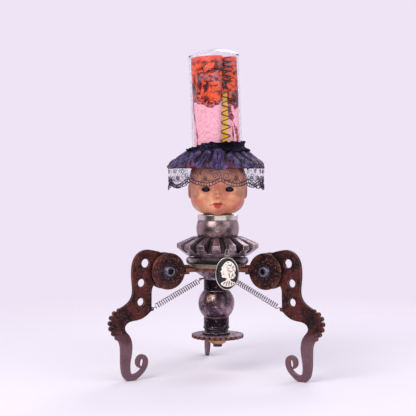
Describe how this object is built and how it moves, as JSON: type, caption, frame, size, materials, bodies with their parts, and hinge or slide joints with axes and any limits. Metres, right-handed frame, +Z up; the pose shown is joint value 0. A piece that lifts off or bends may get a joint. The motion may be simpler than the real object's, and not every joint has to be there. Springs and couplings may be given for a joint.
{
  "type": "fortune teller figure",
  "caption": "Free-standing fortune teller figure: doll head under a glass jar and lace hat, on a stack of gears and a turned post with sprung scroll legs",
  "frame": {"origin": "middle of the footprint, on the surface that the feet stand on", "axes": "+Z up along the post; the face and the cameo look along -Y, and +X is to the viewer's right"},
  "size_m": [0.2881, 0.2549, 0.4509],
  "materials": {
    "rusty_plate": "rusted dark brown plate, worn to copper at its edges",
    "dark_washer": "dark scratched steel with a worn copper rim",
    "nut_steel": "dull blue-grey steel",
    "pipe_steel": "dark threaded steel",
    "spring_steel": "bright spring wire",
    "hub_rust": "orange-brown rusted plate",
    "sprocket_rust": "lilac-grey face with rusted copper teeth",
    "old_brass": "dull brass",
    "post_iron": "dark scratched turned iron",
    "collar_steel": "satin steel",
    "lid_tin": "pale tarnished tin with a cream lip",
    "rib_black": "near-black",
    "lobe_steel": "pale worn steel",
    "gear_steel": "dark worn steel with rust in the gaps",
    "neck_steel": "polished tarnished steel",
    "band_nickel": "polished nickel",
    "thin_wire": "dull twisted wire",
    "plug_wood": "plain turned wood",
    "doll_skin": "painted doll composition with flushed cheeks",
    "doll_eye": "glossy dark blue-black",
    "crown_wood": "dark stained wood",
    "elastic_black": "gathered black elastic",
    "satin_navy": "dark navy satin with a soft sheen",
    "lace_black": "fine black lace net",
    "print_paper": "printed paper in pink, orange and maroon",
    "old_spring": "tarnished spring wire",
    "clear_glass": "clear",
    "pendant_silver": "tarnished silver",
    "cameo_black": "glossy black",
    "cameo_ivory": "ivory"
  },
  "bodies": {
    "stand": {"end_nut": "pipe_steel", "brass_cap": "old_brass", "sprocket": "sprocket_rust", "turned_post": "post_iron", "fluted_collar": "collar_steel", "hub_plate": "hub_rust", "tin_lid": "lid_tin", "ribbed_disc": "rib_black", "lobed_spacer": "lobe_steel", "bevel_gear": "gear_steel", "neck_barrel": "neck_steel", "neck_band": "band_nickel", "lock_nut": "pipe_steel", "centre_pipe": "pipe_steel", "top_nut": "band_nickel", "pendant_wire": "thin_wire", "front_disc_left": "dark_washer", "front_disc_right": "dark_washer", "front_disc_back": "dark_washer", "back_disc_left": "dark_washer", "back_disc_right": "dark_washer", "back_disc_back": "dark_washer", "spacer_left": "dark_washer", "spacer_right": "dark_washer", "spacer_back": "dark_washer", "shoulder_pipe_left": "pipe_steel", "shoulder_pipe_right": "pipe_steel", "shoulder_pipe_back": "pipe_steel", "cone_nuts_left": "nut_steel", "cone_nuts_right": "nut_steel", "cone_nuts_back": "nut_steel", "spring_left": "spring_steel", "spring_right": "spring_steel", "spring_back": "spring_steel"},
    "head": {"neck_plug": "plug_wood", "doll_head": "doll_skin", "doll_eyes": "doll_eye", "crown_disc": "crown_wood", "hat_band": "elastic_black", "satin_ruffle": "satin_navy", "lace_trim": "lace_black", "print_roll": "print_paper", "jar_spring": "old_spring"},
    "jar": {"glass_jar": "clear_glass"},
    "bail": {"pendant_bail": "pendant_silver"},
    "pendant": {"pendant_bezel": "pendant_silver", "cameo_ground": "cameo_black", "cameo_relief": "cameo_ivory"},
    "leg_left": {"leg_left": "rusty_plate"},
    "leg_right": {"leg_right": "rusty_plate"},
    "leg_back": {"leg_back": "rusty_plate"}
  },
  "joints": [
    {"name": "leg_left_swing", "type": "hinge", "parent": "stand", "child": "leg_left", "pos_m": [-0.06997, -0.07627, 0.1455], "axis": [-0.4848, 0.8746, 0], "range_deg": [-25, 24], "deforming": ["spring_left"]},
    {"name": "leg_right_swing", "type": "hinge", "parent": "stand", "child": "leg_right", "pos_m": [0.06784, -0.07988, 0.1455], "axis": [-0.5299, -0.848, 0], "range_deg": [-25, 24], "deforming": ["spring_right"]},
    {"name": "leg_back_swing", "type": "hinge", "parent": "stand", "child": "leg_back", "pos_m": [-0.00975, 0.04191, 0.1455], "axis": [0.9925, 0.1219, 0], "range_deg": [-25, 24], "deforming": ["spring_back"]},
    {"name": "head_turn", "type": "hinge", "parent": "stand", "child": "head", "pos_m": [0, -0.03749, 0.221], "axis": [0, 0, 1], "continuous": true},
    {"name": "jar_lift", "type": "slide", "parent": "head", "child": "jar", "axis": [-0.041, 0, 0.9992], "range_m": [0, 0.16]},
    {"name": "pendant_swing", "type": "hinge", "parent": "stand", "child": "bail", "pos_m": [0.0126, -0.09679, 0.1759], "axis": [-1, 0, 0], "range_deg": [0, 75]},
    {"name": "pendant_sway", "type": "hinge", "parent": "bail", "child": "pendant", "pos_m": [0.0126, -0.09679, 0.1689], "axis": [0, 1, 0], "range_deg": [-25, 25]}
  ]
}
